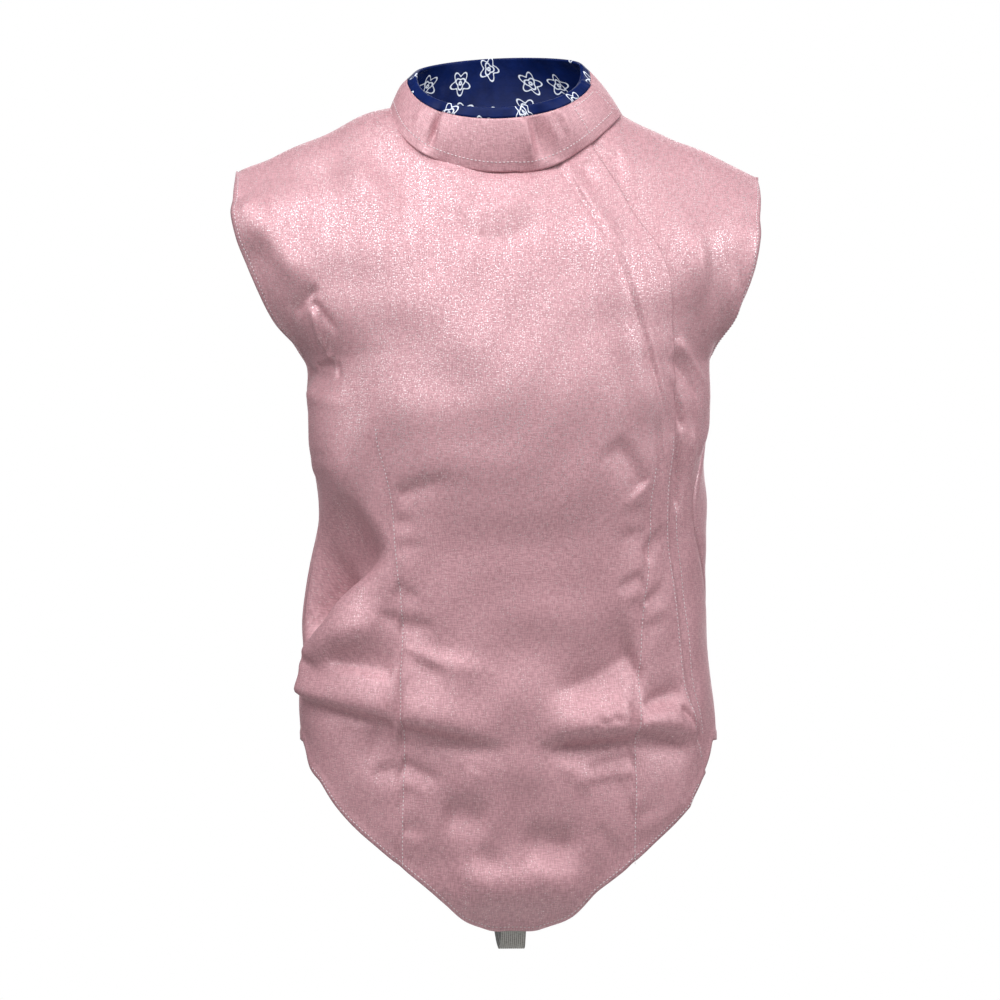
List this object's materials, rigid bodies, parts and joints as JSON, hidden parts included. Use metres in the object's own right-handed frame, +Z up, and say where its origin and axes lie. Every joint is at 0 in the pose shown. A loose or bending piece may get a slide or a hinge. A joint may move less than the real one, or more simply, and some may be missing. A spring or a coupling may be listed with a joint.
{
  "type": "sleeveless fencing jacket",
  "caption": "Sleeveless fencing jacket of conductive cloth with a stand collar, a lapped side closure, long front darts, a pointed front hem and an elastic strap, filled out as worn",
  "frame": {"origin": "in the middle of the neck, level with the inner ends of the shoulder seams, where a wearer holds the jacket up", "axes": "+Z up; the front of the jacket faces -Y; +X is the wearer's left"},
  "size_m": [0.4217, 0.2262, 0.7098],
  "materials": {
    "lame": "metallic woven",
    "satin": "satin",
    "elastic": "ribbed webbing"
  },
  "bodies": {
    "root": {"front": "lame", "side_front": "lame", "back": "lame", "collar": "lame", "collar_facing": "satin", "strap": "elastic"}
  },
  "joints": []
}
